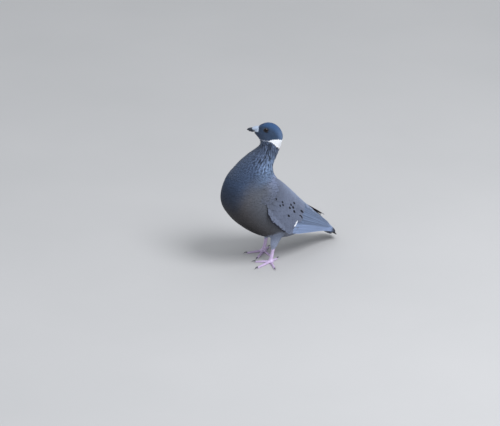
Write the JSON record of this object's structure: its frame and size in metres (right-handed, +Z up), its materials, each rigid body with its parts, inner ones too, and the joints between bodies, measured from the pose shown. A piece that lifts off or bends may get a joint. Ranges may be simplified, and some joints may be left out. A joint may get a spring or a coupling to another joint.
{
  "type": "white-collared pigeon",
  "caption": "Life-size display model of a white-collared pigeon standing upright with its head turned, wings folded over a closed tail.",
  "frame": {"origin": "centre of the bird's bounding box, on the floor", "axes": "+X the way the trunk faces, +Y the bird's left, +Z up"},
  "size_m": [0.2162, 0.101, 0.2295],
  "materials": {
    "slate_plumage": "soft matte feathers",
    "neck_plumage": "streaked matte feathers",
    "hood_plumage": "soft matte feathers",
    "wing_plumage": "soft matte feathers",
    "tail_plumage": "smooth vanes",
    "black_horn": "polished horn",
    "powdery_cere": "powdery swelling",
    "dark_brown_eye": "wet eye",
    "pink_leg_scales": "scaly skin"
  },
  "bodies": {
    "root": {"trunk": "slate_plumage", "neck": "neck_plumage", "head": "hood_plumage", "tail": "tail_plumage", "bill_upper": "black_horn", "bill_lower": "black_horn", "cere": "powdery_cere", "wing_left": "wing_plumage", "eye_left": "dark_brown_eye", "drumstick_left": "slate_plumage", "tarsus_left": "pink_leg_scales", "toe_inner_left": "pink_leg_scales", "claw_inner_left": "black_horn", "toe_middle_left": "pink_leg_scales", "claw_middle_left": "black_horn", "toe_outer_left": "pink_leg_scales", "claw_outer_left": "black_horn", "toe_hind_left": "pink_leg_scales", "claw_hind_left": "black_horn", "wing_right": "wing_plumage", "eye_right": "dark_brown_eye", "drumstick_right": "slate_plumage", "tarsus_right": "pink_leg_scales", "toe_inner_right": "pink_leg_scales", "claw_inner_right": "black_horn", "toe_middle_right": "pink_leg_scales", "claw_middle_right": "black_horn", "toe_outer_right": "pink_leg_scales", "claw_outer_right": "black_horn", "toe_hind_right": "pink_leg_scales", "claw_hind_right": "black_horn"}
  },
  "joints": []
}
